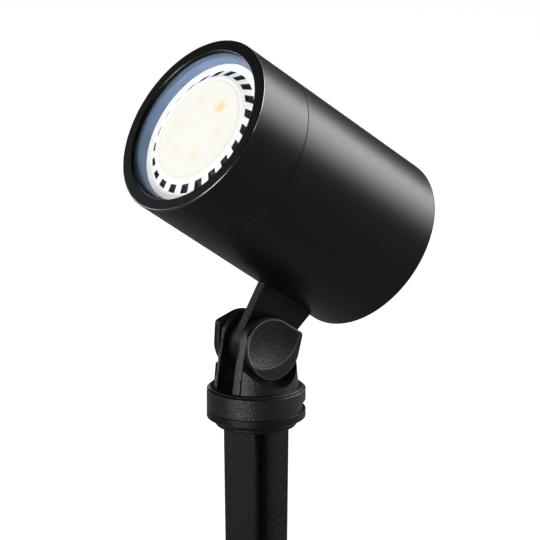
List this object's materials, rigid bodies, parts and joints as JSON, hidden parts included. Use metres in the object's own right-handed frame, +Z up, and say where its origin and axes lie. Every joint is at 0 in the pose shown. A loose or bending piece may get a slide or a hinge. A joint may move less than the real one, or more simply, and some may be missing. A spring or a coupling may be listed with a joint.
{
  "type": "garden spotlight",
  "caption": "Garden spotlight on a finned ground spike: a round lamp head that tilts in a clamped swivel fork, with a screw-on front ring over the lens.",
  "frame": {"origin": "on the spike's axis at the underside of its shoulder ring, where it meets the ground", "axes": "+Z up along the spike's axis, -Y the way the lamp head points, X along the tilt axis"},
  "size_m": [0.062, 0.106, 0.2804],
  "materials": {
    "powder_coat": "satin black powder coat on aluminium",
    "black_nylon": "fine-grained black glass-filled nylon",
    "lens": "clear flat toughened glass",
    "silicone": "blue-grey translucent silicone",
    "lamp_white": "white moulded plastic",
    "diffuser": "opal diffuser, lit warm white",
    "heatsink": "white-coated die-cast aluminium",
    "circuit_board": "white solder mask",
    "led_phosphor": "yellow phosphor",
    "ceramic": "unglazed steatite ceramic",
    "stainless": "stainless steel",
    "brass": "nickel-free brass",
    "wire_jacket": "glass-fibre sleeved wire",
    "terminal_plastic": "moulded polyamide",
    "washer_nylon": "black nylon"
  },
  "bodies": {
    "spike": {"ground_spike": "black_nylon", "swivel_screw": "stainless", "swivel_washer": "stainless"},
    "fork": {"fork_bracket": "black_nylon", "tilt_washers": "washer_nylon", "nut_knob": "black_nylon", "lock_nut": "stainless"},
    "clamp": {"clamp_knob": "black_nylon", "pivot_bolt": "stainless"},
    "head": {"rear_housing": "powder_coat", "head_bracket": "powder_coat", "bracket_screws": "stainless", "seal_ring": "silicone", "lamp_front_ring": "lamp_white", "lamp_diffuser": "diffuser", "led_board": "circuit_board", "led_chips": "led_phosphor", "lamp_heatsink": "heatsink", "lamp_driver": "circuit_board", "lamp_base": "lamp_white", "lamp_pins": "brass", "lamp_holder": "ceramic", "holder_contacts": "brass", "holder_strap": "stainless", "strap_screws": "stainless", "lead_wires": "wire_jacket", "terminal_block": "terminal_plastic", "gland_body": "black_nylon", "gland_seal": "silicone", "gland_nut": "black_nylon", "gland_locknut": "black_nylon"},
    "lens_carrier": {"lens_glass": "lens", "lens_gasket": "silicone"},
    "bezel": {"front_bezel": "powder_coat"}
  },
  "joints": [
    {"name": "swivel", "type": "hinge", "parent": "spike", "child": "fork", "pos_m": [0, 0, 0.0063], "axis": [0, 0, 1], "continuous": true},
    {"name": "tilt", "type": "hinge", "parent": "fork", "child": "head", "pos_m": [0, 0, 0.0277], "axis": [-1, 0, 0], "range_deg": [-95, 45]},
    {"name": "clamp_turn", "type": "hinge", "parent": "fork", "child": "clamp", "pos_m": [0, 0, 0.0277], "axis": [1, 0, 0], "range_deg": [0, 360]},
    {"name": "bezel_advance", "type": "slide", "parent": "head", "child": "lens_carrier", "axis": [0, -0.8241, 0.5664], "range_m": [0, 0.012]},
    {"name": "bezel_turn", "type": "hinge", "parent": "lens_carrier", "child": "bezel", "pos_m": [0, -0.02556, 0.10509], "axis": [0, -0.8241, 0.5664], "range_deg": [0, 2160]}
  ],
  "couplings": [
    {"joint": "bezel_advance", "follows": "bezel_turn", "m_per_rad": 0.00031831}
  ]
}
